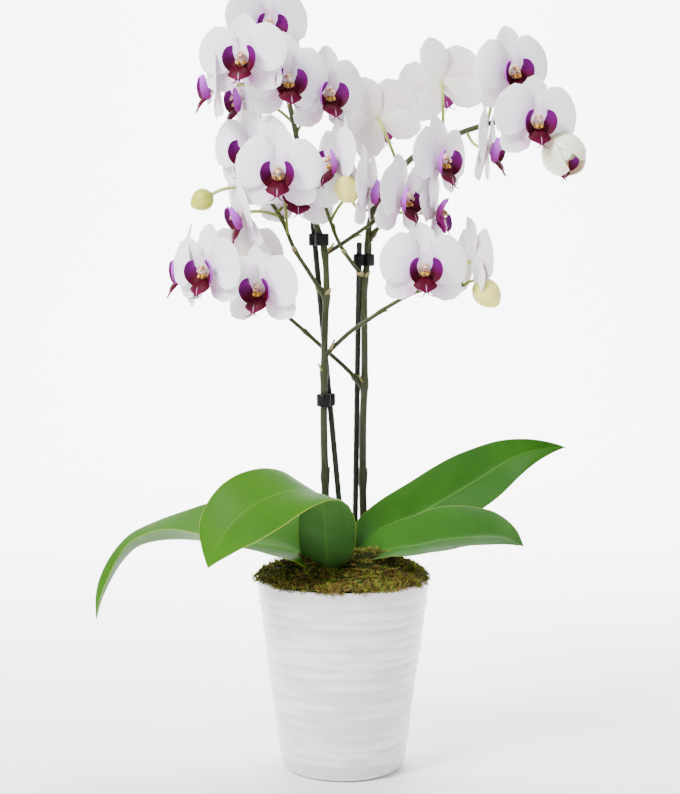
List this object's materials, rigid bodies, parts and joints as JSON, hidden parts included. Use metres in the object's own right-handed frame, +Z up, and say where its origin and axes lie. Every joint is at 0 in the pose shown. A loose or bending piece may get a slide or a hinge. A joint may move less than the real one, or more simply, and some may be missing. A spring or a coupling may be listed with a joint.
{
  "type": "potted moth orchid",
  "caption": "Moth orchid with arching flower spikes, strap leaves, support stakes and moss in a ribbed tapered ceramic pot.",
  "frame": {"origin": "centre of the pot's flat base, on the surface it stands on", "axes": "+Z up along the pot's axis, -Y towards the front that the flowers face, +X to the viewer's right"},
  "size_m": [0.3542, 0.1527, 0.582],
  "materials": {
    "glazed_pot": "gloss",
    "bark": "matte",
    "moss": "matte",
    "crown": "satin",
    "leaf": "satin",
    "stem": "satin",
    "stake": "satin",
    "clip": "satin",
    "petal": "matte",
    "bud": "satin"
  },
  "bodies": {
    "root": {"pot": "glazed_pot", "crown": "crown", "spike_left": "stem", "spike_right": "stem", "stake_left": "stake", "stake_right": "stake", "clip_left_low": "clip", "clip_left_high": "clip", "clip_right": "clip", "branch_left_upper": "stem", "branch_left_crossing": "stem", "branch_right_crossing": "stem", "branch_left_lower": "stem", "branch_right_lower": "stem", "branch_right_upper": "stem", "leaf_front_left": "leaf", "leaf_far_left": "leaf", "leaf_upper_right": "leaf", "leaf_lower_right": "leaf", "flower_01": "petal", "flower_02": "petal", "flower_03": "petal", "flower_04": "petal", "flower_05": "petal", "flower_06": "petal", "flower_07": "petal", "flower_08": "petal", "flower_09": "petal", "flower_10": "petal", "flower_11": "petal", "flower_12": "petal", "flower_13": "petal", "flower_14": "petal", "flower_15": "petal", "flower_16": "petal", "flower_17": "petal", "flower_18": "petal", "flower_19": "petal", "flower_20": "petal", "flower_21": "petal", "flower_22": "petal", "flower_23": "petal", "flower_24": "petal", "flower_25": "petal", "flower_26": "petal", "flower_half_open": "petal", "bud_left": "bud", "bud_middle": "bud", "bud_right": "bud", "growing_medium": "bark", "moss": "moss"}
  },
  "joints": []
}
